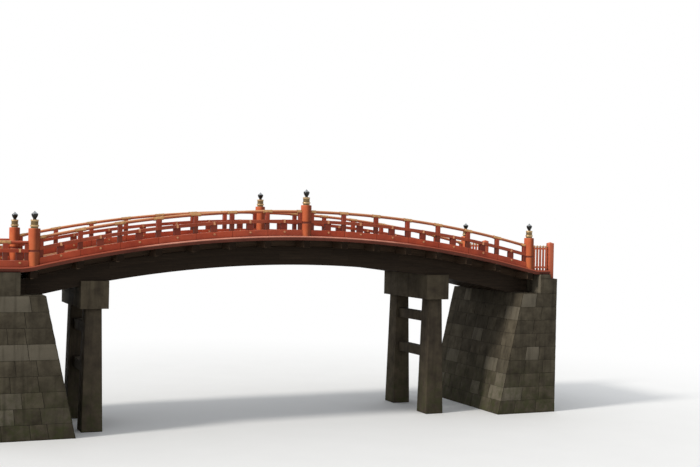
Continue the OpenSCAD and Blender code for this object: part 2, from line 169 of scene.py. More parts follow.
def skin(rings, sides):
    """Faces round a stack of rings of corners, with both ends closed."""
    faces = [[k * sides + i, k * sides + (i + 1) % sides,
              (k + 1) * sides + (i + 1) % sides, (k + 1) * sides + i]
             for k in range(rings - 1) for i in range(sides)]
    return faces + [list(range(sides)), [(rings - 1) * sides + i for i in range(sides)]]


class Shape:
    """Gathers solids into one mesh; each solid keeps a tone of its own for its material."""

    def __init__(self):
        self.verts = []
        self.faces = []
        self.tones = []

    def add(self, verts, faces, matrix=None):
        """One solid, with a tone drawn for it."""
        start = len(self.verts)
        tone = dice.random()
        for v in verts:
            self.verts.append(matrix @ Vector(v) if matrix else Vector(v))
            self.tones.append(tone)
        self.faces += [[start + i for i in f] for f in faces]
        return self

    def block(self, size, cut, matrix):
        """Box of the given size about its middle, with chamfered edges."""
        half = [s / 2 for s in size]
        corners = list(product((-1, 1), repeat=3))
        verts, index = [], {}
        for signs in corners:
            for axis in range(3):
                index[signs, axis] = len(verts)
                verts.append([signs[k] * (half[k] - (0 if k == axis else cut)) for k in range(3)])

        def point(axis, s, sa, sb, face):
            """Number of the point at one corner that lies on the face square to the axis given last."""
            signs = [0, 0, 0]
            signs[axis], signs[(axis + 1) % 3], signs[(axis + 2) % 3] = s, sa, sb
            return index[tuple(signs), face]

        faces = []
        for axis in range(3):
            a, b = (axis + 1) % 3, (axis + 2) % 3
            for s in (-1, 1):
                faces.append([point(axis, s, *pair, axis) for pair in ((-1, -1), (1, -1), (1, 1), (-1, 1))])
            for pair in product((-1, 1), repeat=2):
                faces.append([point(axis, s, *pair, face) for s, face in ((-1, a), (-1, b), (1, b), (1, a))])
        faces += [[index[signs, axis] for axis in range(3)] for signs in corners]
        return self.add(verts, faces, matrix)

    def sweep(self, outline, xs, line=deck_z):
        """Closed outline of (y, height) points, carried along the walking line."""
        verts = [(CROWN_X + x, y, line(x) + h) for x in xs for y, h in outline]
        return self.add(verts, skin(len(xs), len(outline)))

    def tube(self, xs, radii, y, h, line=deck_z, tilt=fall):
        """Round bar along the walking line, with a radius at each place."""
        verts = []
        for x, r in zip(xs, radii):
            matrix = at(x, y, line(x) + h, tilt(x))
            verts += [matrix @ Vector((0, r * math.sin(a), r * math.cos(a))) for a in around(TUBE_SIDES)]
        return self.add(verts, skin(len(xs), TUBE_SIDES))

    def lathe(self, outline, matrix, sides=48):
        """Turned solid from (radius, height) points, bottom to top."""
        verts = [(r * math.cos(a), r * math.sin(a), z) for r, z in outline for a in around(sides)]
        return self.add(verts, skin(len(outline), sides), matrix)

    def piece(self, name, material, slot, replaced=(), angle=35):
        """Makes the mesh a piece that rides on the bridge."""
        mesh = bpy.data.meshes.new(name)
        mesh.from_pydata([tuple(v) for v in self.verts], [], self.faces)
        layer = mesh.attributes.new("tone", "FLOAT", "POINT")
        layer.data.foreach_set("value", self.tones)
        make_piece(name, mesh, material, replaced, angle)


def make_piece(name, mesh, material, replaced=(), angle=35):
    """Object of the mesh, smooth but for edges sharper than the angle, that rides on the bridge."""
    work = bmesh.new()
    work.from_mesh(mesh)
    bmesh.ops.recalc_face_normals(work, faces=work.faces)
    work.to_mesh(mesh)
    work.free()
    mesh.materials.clear()
    mesh.materials.append(material)
    obj = bpy.data.objects.new(name, mesh)
    bpy.context.scene.collection.objects.link(obj)
    mesh.shade_smooth()
    mesh.set_sharp_from_angle(angle=math.radians(angle))
    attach(obj, "root")
    if replaced:
        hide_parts(*replaced)


def tone_solids(work):
    """Draws a tone for each separate solid of a mesh, in the order of its corners."""
    layer = work.verts.layers.float.new("tone")
    done = set()
    for seed in work.verts:
        if seed in done:
            continue
        tone = dice.random()
        solid, queue = {seed}, [seed]
        while queue:
            reached = {v for edge in queue.pop().link_edges for v in edge.verts} - solid
            solid |= reached
            queue += reached
        for v in solid:
            v[layer] = tone
        done |= solid


def eased_copy(node, name, width, material, segments=2):
    """Copy of a CAD node with its edges rounded, and a tone for each solid; it stands for the node."""
    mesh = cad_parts[node].data.copy()
    work = bmesh.new()
    work.from_mesh(mesh)
    bmesh.ops.remove_doubles(work, verts=work.verts, dist=1e-5)
    bmesh.ops.dissolve_limit(work, angle_limit=math.radians(0.1), verts=work.verts, edges=work.edges)
    sharp = [e for e in work.edges if len(e.link_faces) == 2 and e.calc_face_angle(0) > math.radians(30)]
    bmesh.ops.bevel(work, geom=sharp, offset=width, segments=segments, profile=0.6, affect="EDGES",
                    clamp_overlap=True)
    tone_solids(work)
    work.to_mesh(mesh)
    work.free()
    make_piece(name, mesh, material, [node])


# Wiring of materials

def srgb(r, g, b):
    """Linear colour of an sRGB colour given from 0 to 255."""
    linear = [((c / 255 + 0.055) / 1.055) ** 2.4 if c > 10 else c / 255 / 12.92 for c in (r, g, b)]
    return (*linear, 1.0)


class Wiring:
    """Short way to wire up a tree of shader nodes."""

    def __init__(self, tree):
        self.tree = tree
        tree.nodes.clear()

    def node(self, kind, **settings):
        """New node; each setting is a property of it, or the value or the link of an input."""
        n = self.tree.nodes.new(kind)
        for key, value in settings.items():
            if hasattr(n, key):
                setattr(n, key, value)
            else:
                self.feed(n.inputs[key.replace("_", " ")], value)
        return n

    def link(self, a, b):
        """Wire from an output to an input."""
        self.tree.links.new(a, b)

    def feed(self, socket, value):
        """Wires an output in, or sets a value; a colour of three numbers is sRGB from 0 to 255."""
        if isinstance(value, bpy.types.NodeSocket):
            self.link(value, socket)
        elif socket.type == "RGBA" and len(value) == 3:
            socket.default_value = srgb(*value)
        else:
            socket.default_value = value

    def sum(self, operation, a, b=0.0):
        """Result of a sum with one or two numbers."""
        n = self.node("ShaderNodeMath", operation=operation)
        self.feed(n.inputs[0], a)
        self.feed(n.inputs[1], b)
        return n.outputs[0]

    def seen(self):
        """One where the camera sees a thing directly, in gloss or through glass."""
        path = self.node("ShaderNodeLightPath")
        seen = self.sum("MAXIMUM", path.outputs["Is Camera Ray"], path.outputs["Is Glossy Ray"])
        return self.sum("MAXIMUM", seen, path.outputs["Is Transmission Ray"])

    def either(self, share, a, b):
        """Blend of two shaders, a where share is nought and b where it is one."""
        n = self.node("ShaderNodeMixShader", Fac=share)
        self.link(a.outputs[0], n.inputs[1])
        self.link(b.outputs[0], n.inputs[2])
        return n.outputs[0]


class Paint(Wiring):
    """Procedural material, with masks that its finishes share."""

    def __init__(self, name, **sockets):
        self.material = bpy.data.materials.new(name)
        self.material.use_nodes = True
        super().__init__(self.material.node_tree)
        self.shader = self.node("ShaderNodeBsdfPrincipled", **sockets)
        self.out = self.node("ShaderNodeOutputMaterial", Surface=self.shader.outputs[0])
        self.place = self.node("ShaderNodeTexCoord").outputs["Object"]
        self.normal = self.node("ShaderNodeNewGeometry").outputs["Normal"]
        self.tone = self.node("ShaderNodeAttribute", attribute_name="tone").outputs["Fac"]

    def part(self, vector, axis):
        """One coordinate of a vector."""
        return self.node("ShaderNodeSeparateXYZ", Vector=vector).outputs[axis]

    def fade(self, length, start, end, kind="SMOOTHSTEP", a=0.0, b=1.0):
        """Value that goes from a to b while a length goes from start to end."""
        n = self.node("ShaderNodeMapRange", interpolation_type=kind, Value=length,
                      From_Min=start, From_Max=end, To_Min=a, To_Max=b)
        return n.outputs[0]

    def ramp(self, value, start, end):
        """Grey ramp between two stops, each a place and a grey."""
        n = self.node("ShaderNodeValToRGB", Fac=value)
        for mark, (place, grey) in zip(n.color_ramp.elements, (start, end)):
            mark.position = place
            mark.color = (grey, grey, grey, 1)
        return n.outputs[0]

    def rise(self, value, start, end):
        """Nought up to start, one from end."""
        return self.ramp(value, (start, 0.0), (end, 1.0))

    def mix(self, share, a, b, blend="MIX"):
        """Colour between a and b; a Mix node has its colours at inputs 6 and 7 and output 2."""
        n = self.node("ShaderNodeMix", data_type="RGBA", blend_type=blend)
        for place, value in ((0, share), (6, a), (7, b)):
            self.feed(n.inputs[place], value)
        return n.outputs[2]

    def wash(self, colour, over, where, strength):
        """Lays another colour over this one, as strongly as a mask and a strength say."""
        return self.mix(self.sum("MULTIPLY", where, strength), colour, over)

    def stretched(self, x, y, z):
        """Object coordinates scaled along each axis, for grain and streaks."""
        return self.node("ShaderNodeMapping", Vector=self.place, Scale=(x, y, z)).outputs[0]

    def noise(self, scale, detail, rough=0.55, vector=None, shift=None):
        """Cloudy noise; shift gives each solid a pattern of its own."""
        n = self.node("ShaderNodeTexNoise", noise_dimensions="4D" if shift else "3D",
                      Vector=vector or self.place, Scale=scale, Detail=detail, Roughness=rough)
        if shift:
            self.link(shift, n.inputs["W"])
        return n.outputs["Fac"]

    def fibres(self, grain, detail, rough, times=1.0):
        """Noise drawn out along the grain, another in each solid; times makes it finer."""
        return self.noise(1.0, detail, rough, self.stretched(*[k * times for k in grain]), self.tone)

    def upward(self, start=0.5, end=0.95):
        """One on faces that look up, nought on walls."""
        return self.rise(self.part(self.normal, "Z"), start, end)

    def away_from_crown(self, patches):
        """Nought along the pale middle of the bridge, bleached and painted as sunlit, one towards its ends,
        patchy between.
        """
        x = self.part(self.place, "X")
        off = self.sum("ABSOLUTE", self.sum("SUBTRACT", x, CROWN_X + BLEACHED_AND_LIT_MIDDLE))
        off = self.sum("ADD", off, self.sum("MULTIPLY", patches, BLEACHED_AND_LIT_RAGGED))
        return self.fade(off, *BLEACHED_AND_LIT_FADE)

    def under_middle_rail(self):
        """One from the middle rail down, nought above it, all along the arch."""
        soft = 0.02
        x = self.sum("ABSOLUTE", self.sum("SUBTRACT", self.part(self.place, "X"), CROWN_X))
        x = self.sum("MINIMUM", x, LEVEL_X)
        line = self.sum("SQRT", self.sum("SUBTRACT", ARCH_R ** 2, self.sum("MULTIPLY", x, x)))
        line = self.sum("ADD", line, CROWN_Z - ARCH_R)
        over = self.sum("SUBTRACT", self.part(self.place, "Z"), line)
        return self.ramp(over, (MID_Z + soft, 1.0), (MID_Z + MID_H - soft, 0.0))

    def shade_side_mask(self):
        """Painted shade mask: one on faces turned away from the sunny side of the bridge, nought on those
        that face it.
        """
        n = self.node("ShaderNodeVectorMath", operation="DOT_PRODUCT", Vector=self.normal)
        n.inputs[1].default_value = (SUN_FROM[0], SUN_FROM[1], 0.0)
        return self.ramp(n.outputs["Value"], (0.0, 1.0), (0.45, 0.0))

    def hollows(self, distance):
        """One deep in corners and joints."""
        n = self.node("ShaderNodeAmbientOcclusion", samples=6, Distance=distance)
        return self.ramp(n.outputs["AO"], (0.25, 1.0), (0.85, 0.0))

    def bump(self, height, strength, distance):
        """Relief of the surface."""
        n = self.node("ShaderNodeBump", Height=height, Strength=strength, Distance=distance)
        self.link(n.outputs[0], self.shader.inputs["Normal"])

    def finish(self, colour, rough, metal=None):
        """Feeds the shader and gives the material."""
        self.feed(self.shader.inputs["Base Color"], colour)
        self.feed(self.shader.inputs["Roughness"], rough)
        if metal is not None:
            self.feed(self.shader.inputs["Metallic"], metal)
        return self.material


# Materials

def lacquer(name, grain, sunlit, deep, faded=(204, 122, 92), dust_and_sunlit_tops=0.45, dust_and_sunlit_from=0.5,
            kept=None, lee_shade=None, under_rail_shade=None):
    """Vermilion lacquer on timber: deeper and faded patches, tops paled by dust and by painted sunlight,
    painted shade in corners and recesses, grain under it.

    kept is the colour that it keeps away from the crown, where the crown is paler from bleaching and from
    painted sunlight. The lee colour paints shade on the sides away from the sun, and the colour for under
    the rail paints shade from the middle rail down.
    """
    p = Paint(name, Specular_IOR_Level=0.18)
    patches = p.noise(0.9, 4.0, 0.6)
    streaks = p.fibres(grain, 5.0, 0.65, 1.6)
    colour = p.mix(p.rise(patches, 0.35, 0.7), sunlit, deep)
    colour = p.wash(colour, deep, p.rise(streaks, 0.45, 0.75), 0.45)
    colour = p.wash(colour, faded, p.tone, 0.14)
    colour = p.wash(colour, faded, p.rise(p.noise(7.0, 6.0, 0.7), 0.55, 0.72), 0.2)
    # Tops paled by dust, and by painted sunlight on the faces that look up.
    colour = p.wash(colour, faded, p.upward(dust_and_sunlit_from), dust_and_sunlit_tops)
    # Painted sunlight with real bleaching: paler along the crown, the kept colour towards the ends.
    if kept:
        colour = p.mix(p.away_from_crown(patches), colour, kept)
    # Painted shade on the sides away from the sun.
    if lee_shade:
        colour = p.mix(p.shade_side_mask(), colour, lee_shade, "MULTIPLY")
    # Painted shade from the middle rail down.
    if under_rail_shade:
        colour = p.mix(p.under_middle_rail(), colour, under_rail_shade, "MULTIPLY")
    # Painted shade: darker in corners, recesses and under overhanging parts.
    colour = p.wash(colour, (54, 21, 16), p.hollows(0.3), 0.85)
    pores = p.sum("MULTIPLY", p.noise(60.0, 2.0), 0.25)
    p.bump(p.sum("ADD", p.fibres(grain, 6.0, 0.6), pores), 0.35, 0.004)
    return p.finish(colour, p.ramp(streaks, (0.3, 0.42), (0.8, 0.66)))


def gilt(name, bright, dull, metal):
    """Gilt sheet metal, tarnished in patches and in its hollows."""
    p = Paint(name)
    worn = p.rise(p.noise(9.0, 5.0, 0.65), 0.42, 0.68)
    colour = p.wash(bright, dull, worn, 0.6)
    colour = p.wash(colour, (70, 46, 24), p.hollows(0.05), 0.7)
    p.bump(p.sum("ADD", p.noise(28.0, 3.0), p.sum("MULTIPLY", p.noise(150.0, 2.0), 0.3)), 0.25, 0.002)
    rough = p.ramp(worn, (0.0, 0.3), (1.0, 0.55))
    return p.finish(colour, rough, p.ramp(worn, (0.0, metal), (1.0, metal - 0.2)))


def blackened_bronze(name):
    """Dark cast bronze with a grey-green bloom in patches, and a painted pale sky reflection on its upper
    side.
    """
    p = Paint(name)
    bloom = p.rise(p.noise(14.0, 5.0, 0.7), 0.4, 0.7)
    colour = p.wash((38, 37, 36), (72, 76, 72), bloom, 0.45)
    # Painted sky reflection: pale grey over the faces that look up.
    colour = p.wash(colour, (158, 162, 166), p.upward(0.12, 0.8), 0.85)
    p.bump(p.noise(70.0, 3.0), 0.2, 0.002)
    return p.finish(colour, p.ramp(bloom, (0.0, 0.28), (1.0, 0.55)), 0.75)


def black_boarding(name, grain, plain, worn_to, deep, gloss=0.04):
    """Black lacquered timber, brown where it wears, with dust on top."""
    p = Paint(name, Specular_IOR_Level=gloss)
    worn = p.fibres(grain, 5.0, 0.65, 0.7)
    colour = p.mix(p.rise(worn, 0.4, 0.75), plain, worn_to)
    colour = p.wash(colour, deep, p.tone, 0.5)
    colour = p.wash(colour, (104, 88, 72), p.upward(), 0.5)
    p.bump(p.fibres(grain, 6.0, 0.6), 0.35, 0.004)
    return p.finish(colour, p.ramp(worn, (0.3, 0.42), (0.8, 0.66)))


def deck_timber(name, grain):
    """Bare red-brown boards with growth rings, worn pale in patches."""
    p = Paint(name, Specular_IOR_Level=0.15)
    rings = p.fibres(grain, 4.0, 0.6)
    colour = p.mix(p.rise(rings, 0.3, 0.7), (176, 112, 70), (122, 72, 44))
    colour = p.wash(colour, (150, 104, 76), p.tone, 0.4)
    colour = p.wash(colour, (168, 138, 112), p.rise(p.noise(0.5, 4.0), 0.4, 0.7), 0.35)
    colour = p.wash(colour, (44, 28, 20), p.hollows(0.06), 0.75)
    p.bump(p.sum("ADD", rings, p.fibres(grain, 6.0, 0.7, 4)), 0.4, 0.004)
    return p.finish(colour, p.ramp(rings, (0.3, 0.6), (0.7, 0.8)))


def stone(name, pale, dark, stain):
    """Dressed stone: speckled, rain-streaked, damp and mossy towards its foot."""
    p = Paint(name, Specular_IOR_Level=0.12)
    clouds = p.noise(1.6, 5.0, 0.62, shift=p.tone)
    colour = p.mix(p.rise(clouds, 0.35, 0.7), pale, dark)
    colour = p.mix(p.ramp(p.tone, (0.0, 0.0), (0.8, 0.4)), colour, stain)
    colour = p.wash(colour, (134, 126, 110), p.rise(p.tone, 0.86, 0.92), 0.55)
    colour = p.wash(colour, dark, p.rise(p.noise(55.0, 3.0, 0.7), 0.5, 0.7), 0.25)
    runs = p.noise(1.0, 5.0, 0.6, p.stretched(3.2, 3.2, 0.22))
    colour = p.wash(colour, stain, p.rise(runs, 0.5, 0.72), 0.6)
    damp = p.fade(p.part(p.place, "Z"), 0.0, 3.2, "LINEAR", 0.75, 0.0)
    moss = p.rise(p.noise(3.0, 6.0, 0.7), 0.42, 0.62)
    colour = p.mix(p.sum("MULTIPLY", damp, moss), colour, (64, 68, 40))
    colour = p.wash(colour, (22, 20, 17), p.hollows(0.12), 0.7)
    p.bump(p.sum("ADD", p.noise(24.0, 6.0, 0.7), p.sum("MULTIPLY", p.noise(5.0, 4.0, 0.6), 1.4)), 0.5, 0.012)
    return p.finish(colour, p.ramp(clouds, (0.3, 0.78), (0.7, 0.92)))


def mortar(name):
    """Dark packed joints behind the stones."""
    p = Paint(name, Specular_IOR_Level=0.1)
    grit = p.noise(30.0, 5.0, 0.7)
    p.bump(grit, 0.6, 0.01)
    return p.finish(p.mix(grit, (30, 27, 23), (58, 53, 45)), 0.95)


def pale_floor(name):
    """Floor that shows the shadow near the bridge, and is seen as white far out."""
    near, white = 16.0, 42.0
    p = Paint(name)
    length = p.node("ShaderNodeVectorMath", operation="LENGTH", Vector=p.place)
    far = p.fade(length.outputs["Value"], near, white)
    seen = p.seen()
    pale = p.mix(p.noise(0.4, 3.0), (0.80, 0.80, 0.79, 1), (0.84, 0.84, 0.83, 1))
    p.finish(p.mix(seen, (0.24, 0.235, 0.22, 1), pale), 0.9)
    glow = p.node("ShaderNodeEmission")
    p.link(p.either(p.sum("MULTIPLY", far, seen), p.shader, glow), p.out.inputs["Surface"])
    return p.material


# Grain: how finely it is drawn along X, Y and Z
ALONG, UPRIGHT, ACROSS = (1.2, 26.0, 26.0), (26.0, 26.0, 1.2), (26.0, 1.2, 26.0)

red_along = lacquer("vermilion_rails", ALONG, (184, 78, 50), (142, 52, 34))
red_base = lacquer("vermilion_base_rails", ALONG, (197, 83, 53), (152, 56, 37), (216, 130, 98))
red_middle = lacquer("vermilion_middle_rails", ALONG, (176, 79, 51), (136, 53, 35), (198, 120, 92))
# Posts in painted shade from the middle rail down.
red_upright = lacquer("vermilion_posts", UPRIGHT, (174, 72, 49), (128, 49, 34), (204, 120, 90),
                      under_rail_shade=(0.52, 0.62, 0.66, 1))
# Short posts darker than the rails, as painted shade under the middle rail.
red_low = lacquer("vermilion_short_posts", UPRIGHT, (141, 57, 40), (108, 42, 31), (180, 104, 80))
red_edge = lacquer("shaded_edge_beams", ALONG, (122, 64, 49), (94, 48, 38), (156, 100, 82))
red_waist = lacquer("shaded_vermilion", UPRIGHT, (118, 50, 36), (92, 36, 27))
# Newels paler than the rails as painted sunlight, with painted shade on the sides away from the sun.
red_newel = lacquer("vermilion_newels", UPRIGHT, (218, 118, 71), (190, 86, 53), (228, 150, 108),
                    dust_and_sunlit_tops=0.9, lee_shade=(0.42, 0.38, 0.38, 1))
# Fence paler than the rails, as painted sunlight.
red_fence = lacquer("vermilion_fence", UPRIGHT, (236, 124, 88), (210, 102, 70), (236, 160, 124))
# End posts paler than the rails as painted sunlight, with painted shade on the sides away from the sun.
red_end_post = lacquer("vermilion_end_posts", UPRIGHT, (230, 120, 84), (202, 96, 66), (232, 158, 122),
                       lee_shade=(0.72, 0.70, 0.70, 1))
# Top rail pale over most of its round, from dust and from painted sunlight.
red_top = lacquer("vermilion_top_rail", ALONG, (198, 106, 72), (160, 72, 48), (222, 170, 122),
                  dust_and_sunlit_tops=0.85, dust_and_sunlit_from=-0.25)
# Nosing paler than the rails from bleaching and from painted sunlight, palest at the crown.
red_nosing = lacquer("bleached_and_sunlit_nosing", ALONG, (228, 158, 136), (208, 128, 106), (236, 176, 152),
                     kept=(168, 84, 62))
black_along = black_boarding("black_boards", ALONG, (54, 45, 37), (74, 62, 51), (42, 35, 29))
# Beam caps blacker than the boarding, as painted shade under the deck's edge.
black_across = black_boarding("black_beams", ACROSS, (41, 33, 26), (53, 43, 36), (34, 27, 22), 0.005)
# Boards and beam sides deep under the deck are painted lighter, standing in for light that reaches into the
# recess.
infill_black_painted_light = black_boarding("infill_boards_painted_light", ALONG, (90, 74, 60), (108, 91, 75), (72, 59, 48))
beam_sides_black_painted_light = black_boarding("beam_sides_painted_light", ACROSS, (86, 70, 57), (102, 86, 71), (70, 57, 46), 0.005)
gold = gilt("gilt_sheet", (200, 152, 102), (138, 94, 58), 0.75)
warm_gilt = gilt("warm_gilt", (208, 149, 108), (143, 92, 62), 0.75)
pale_gilt = gilt("pale_gilt", (202, 170, 122), (144, 118, 86), 0.5)
old_brass = gilt("old_brass", (124, 102, 66), (78, 64, 42), 0.7)
bronze = blackened_bronze("blackened_bronze")
deck_wood = deck_timber("deck_timber", ACROSS)
granite = stone("pier_granite", (110, 100, 81), (76, 67, 56), (53, 46, 39))
# Pier posts darker than the cap, as painted shade under the deck.
post_granite = stone("pier_post_granite", (97, 87, 71), (67, 59, 50), (46, 40, 35))
squared = stone("abutment_stone", (104, 96, 80), (68, 61, 50), (44, 39, 32))
joints = mortar("mortar")


# Deck

def mirrored(outline, s):
    """Outline of the far side, brought to the side that s says."""
    return [(s * y, h) for y, h in outline]


def deck():
    """Boards across the deck, each with two nails in every row."""
    width, gap, cut = 0.24, 0.007, 0.006
    drop, short, wander = 0.003, 0.012, 0.006
    nail_out, nail_sides = 0.07, 7
    nail_head = [(0.012, -0.004), (0.012, 0.0015), (0.008, 0.004), (0.003, 0.005)]
    shape, nails = Shape(), Shape()
    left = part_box("deck_boards")[0].x - CROWN_X
    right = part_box("deck_boards")[1].x - CROWN_X
    count = round((right - left) / width)
    pitch = (right - left) / count
    for k in range(count):
        x = left + (k + 0.5) * pitch
        top = deck_z(x) - dice.uniform(0.0, drop)
        size = (pitch - gap, 2 * DECK_EDGE - dice.uniform(0.0, short), BOARD_T)
        shape.block(size, cut, at(x, 0, top, fall(x)) @ Matrix.Translation((0, 0, -BOARD_T / 2)))
        for y in NAIL_ROWS:
            for way in (-1, 1):
                nail = at(x, y + dice.uniform(-wander, wander), top, fall(x))
                nails.lathe(nail_head, nail @ Matrix.Translation((way * nail_out, 0, 0)), nail_sides)
    shape.piece("deck_planks", deck_wood, "deck_wood", ["deck_boards"])
    nails.piece("deck_nails", bronze, "dark_bronze")


def edge_beams():
    """Edge beam with a pale nosing along its upper edge, bleached and painted as sunlit, in lengths that
    butt.
    """
    lip_h, lip_out, gap, step = 0.07, 0.022, 0.002, 0.45
    face = EDGE_FACE - lip_out
    timber = [(DECK_EDGE, -0.002), (face, -0.002), (face, -EDGE_DEPTH + 0.095),
              (face - 0.035, -EDGE_DEPTH), (DECK_EDGE, -EDGE_DEPTH)]
    back = face - 0.05
    bend = [(EDGE_FACE - inset, h) for inset, h in (
        (0.034, 0.003), (0.018, -0.004), (0.006, -0.018), (0, -0.038), (0, -lip_h + 0.012), (0.008, -lip_h))]
    lip = [(back, 0.003)] + bend + [(back, -lip_h)]
    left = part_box("edge_beam_near")[0].x - CROWN_X
    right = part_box("edge_beam_near")[1].x - CROWN_X
    butts = [HALF_POSTS[k] for k in (0, 2, 4)]
    ends = [left] + [-x for x in reversed(butts)] + butts + [right]
    for side, s in SIDES.items():
        beam, nosing = Shape(), Shape()
        for x0, x1 in zip(ends, ends[1:]):
            xs = spread(x0 + gap, x1 - gap, step)
            beam.sweep(mirrored(timber, s), xs)
            nosing.sweep(mirrored(lip, s), xs)
        beam.piece(f"edge_beam_{side}_timber", red_edge, "red_lacquer", [f"edge_beam_{side}"])
        nosing.piece(f"edge_nosing_{side}", red_nosing, "red_lacquer")


# Girders

def boarding():
    """Lapped boards along the outer girders' faces, and weather boards over the ledge above them."""
    courses, length, shift, step = 3, 3.9, 0.9, 0.6
    margin, gap, weather_gap = 0.4, 0.003, 0.002
    end = GIRDER_END - margin
    under = GIRDER_TOP - LEDGE_H
    brow = GIRDER_FACE + LEDGE_OUT
    course_h = (under - GIRDER_BOTTOM) / courses
    ends = spread(-end, end, length)
    weather = [(GIRDER_FACE, under - 0.004), (brow + 0.004, under - 0.006),
               (brow + 0.008, GIRDER_TOP - 0.006), (brow + 0.002, GIRDER_TOP + 0.004),
               (GIRDER_FACE - 0.02, GIRDER_TOP + 0.012)]
    for side, s in SIDES.items():
        shape = Shape()
        for c in range(courses):
            foot = GIRDER_BOTTOM + c * course_h
            lapped = [(GIRDER_FACE + out, foot + up) for out, up in (
                (0, -0.004), (0.026, -0.004), (0.028, 0.006), (0.010, course_h), (0, course_h))]
            cuts = [ends[0]] + [x + (shift if c % 2 else 0.0) for x in ends[1:-1]] + [ends[-1]]
            for x0, x1 in zip(cuts, cuts[1:]):
                shape.sweep(mirrored(lapped, s), spread(x0 + gap, x1 - gap, step))
        for x0, x1 in zip(ends, ends[1:]):
            shape.sweep(mirrored(weather, s), spread(x0 + weather_gap, x1 - weather_gap, step))
        shape.piece(f"girder_boarding_{side}", black_along, "black_lacquer")


def infill():
    """Two courses of boards that close the bays between the cross beams, over each outer girder."""
    back, face, lap = GIRDER_FACE - 0.07, GIRDER_FACE - 0.028, 0.012
    beam, step = 0.148, 0.6
    half = (-EDGE_DEPTH - GIRDER_TOP) / 2
    for side, s in SIDES.items():
        shape = Shape()
        for x0, x1 in zip(CROSS_BEAMS, CROSS_BEAMS[1:]):
            for course in range(2):
                foot = GIRDER_TOP + course * half - 0.003
                board = [(back, foot), (face, foot), (face + 0.002, foot + 0.006),
                         (face - lap, foot + half), (back, foot + half)]
                shape.sweep(mirrored(board, s), spread(x0 + beam, x1 - beam, step))
        shape.piece(f"infill_boards_{side}", infill_black_painted_light, "black_lacquer")


def beam_caps():
    """Weather boards over the ends of the cross beams."""
    size, cut, under_edge, sunk = (0.306, 0.05, 0.335), 0.006, 0.17, 0.022
    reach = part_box("cross_beams")[1].y
    for side, s in SIDES.items():
        shape = Shape()
        for x in CROSS_BEAMS:
            shape.block(size, cut, at(x, s * (reach - sunk), deck_z(x) - EDGE_DEPTH - under_edge))
        shape.piece(f"cross_beam_caps_{side}", black_across, "black_lacquer")


# Railing

def rail_lengths():
    """Lengths of flat rail that meet over the full posts and run into the newels."""
    edges = [NEWEL_R - RAIL_BITE]
    for x in HALF_POSTS:
        edges += [x - RAIL_JOINT / 2, x + RAIL_JOINT / 2]
    edges.append(END_X - NEWEL_R + RAIL_BITE)
    half = list(zip(edges[::2], edges[1::2]))
    return [(-b, -a) for a, b in reversed(half)] + half


def board_outline(y, half_t, foot, top, cut):
    """Upright board with chamfered upper edges, as (y, height) points."""
    return [(y - half_t, foot), (y + half_t, foot), (y + half_t, top - cut), (y + half_t - cut, top),
            (y - half_t + cut, top), (y - half_t, top - cut)]


def base_outline(y):
    """Base rail, as (y, height) points."""
    return board_outline(y, BASE_T / 2, 0.0, BASE_H, BASE_CUT)


def middle_outline(y, foot):
    """Middle rail with its underside at the given height, as (y, height) points."""
    return board_outline(y, MID_T / 2, foot, foot + MID_H, MID_CUT)


def rails():
    """Base, middle and top rails along the arch, on both sides."""
    step, top_step, in_newel = 0.4, 0.45, 0.2
    for side, y in RAILINGS.items():
        base, middle, top = Shape(), Shape(), Shape()
        for x0, x1 in rail_lengths():
            xs = spread(x0, x1, step)
            base.sweep(base_outline(y), xs)
            middle.sweep(middle_outline(y, MID_Z), xs)
        for x0, x1 in ((-END_X, 0), (0, END_X)):
            xs = spread(x0 + in_newel, x1 - in_newel, top_step)
            top.tube(xs, [TOP_R] * len(xs), y, TOP_Z)
        base.piece(f"base_rail_{side}_boards", red_base, "red_lacquer", [f"base_rail_{side}"])
        middle.piece(f"middle_rail_{side}_boards", red_middle, "red_lacquer", [f"middle_rail_{side}"])
        top.piece(f"top_rail_{side}_round", red_top, "red_lacquer", [f"top_rail_{side}"])


def short_post(shape, x, y, deck_height, mid):
    """Short post that reaches into the base rail and into a middle rail with its underside at mid."""
    size = (SHORT_W, SHORT_T, mid - BASE_H + 2 * SHORT_BITE)
    shape.block(size, POST_CUT, at(x, y, deck_height + (mid + BASE_H) / 2))


def narrow_posts(shape, y, head):
    """Posts beside the newels, lower where they stand in the left wing; the right wing has none."""
    sunk, lower = 0.05, 0.1
    for x in NEWELS.values():
        for way in (-1, 1):
            if x + way > END_X:
                continue
            middle = x + way * (NARROW_OUT + NARROW_IN) / 2
            tall = head + sunk - (lower if x + way < -END_X else 0)
            size = (NARROW_OUT - NARROW_IN, POST_T, tall)
            shape.block(size, POST_CUT, at(middle, y, deck_z(middle) - sunk + tall / 2))


def posts():
    """Full posts, the narrow ones beside the newels, and short ones under the middle rail."""
    bite = 0.03
    head = TOP_Z - TOP_R + bite
    for side, y in RAILINGS.items():
        full, short = Shape(), Shape()
        for x in FULL_POSTS:
            tall = head + bite
            full.block((POST_W, POST_T, tall), POST_CUT, at(x, y, deck_z(x) - bite + tall / 2))
        narrow_posts(full, y, head)
        for x in SHORT_POSTS:
            short_post(short, x, y, deck_z(x), MID_Z)
        full.piece(f"full_posts_{side}_timber", red_upright, "red_lacquer", [f"full_posts_{side}"])
        short.piece(f"short_posts_{side}_timber", red_low, "red_lacquer", [f"short_posts_{side}"])


def beaded(x0, x1):
    """Places and radii of a sheet sleeve from x0 to x1, with rolled beads near its ends and middle."""
    inner = 3.2 * BEAD_W
    roll = ((-1, 0.0), (-0.6, 0.8), (0, 1.0), (0.6, 0.8), (1, 0.0))
    spots = [(x0, 0.0)]
    for m in (x0 + BEAD_W, x0 + inner, (x0 + x1) / 2, x1 - inner, x1 - BEAD_W):
        spots += [(m + k * BEAD_W / 2, lift) for k, lift in roll]
    spots.append((x1, 0.0))
    return [x for x, lift in spots], [SLEEVE_R + lift * BEAD_OUT for x, lift in spots]


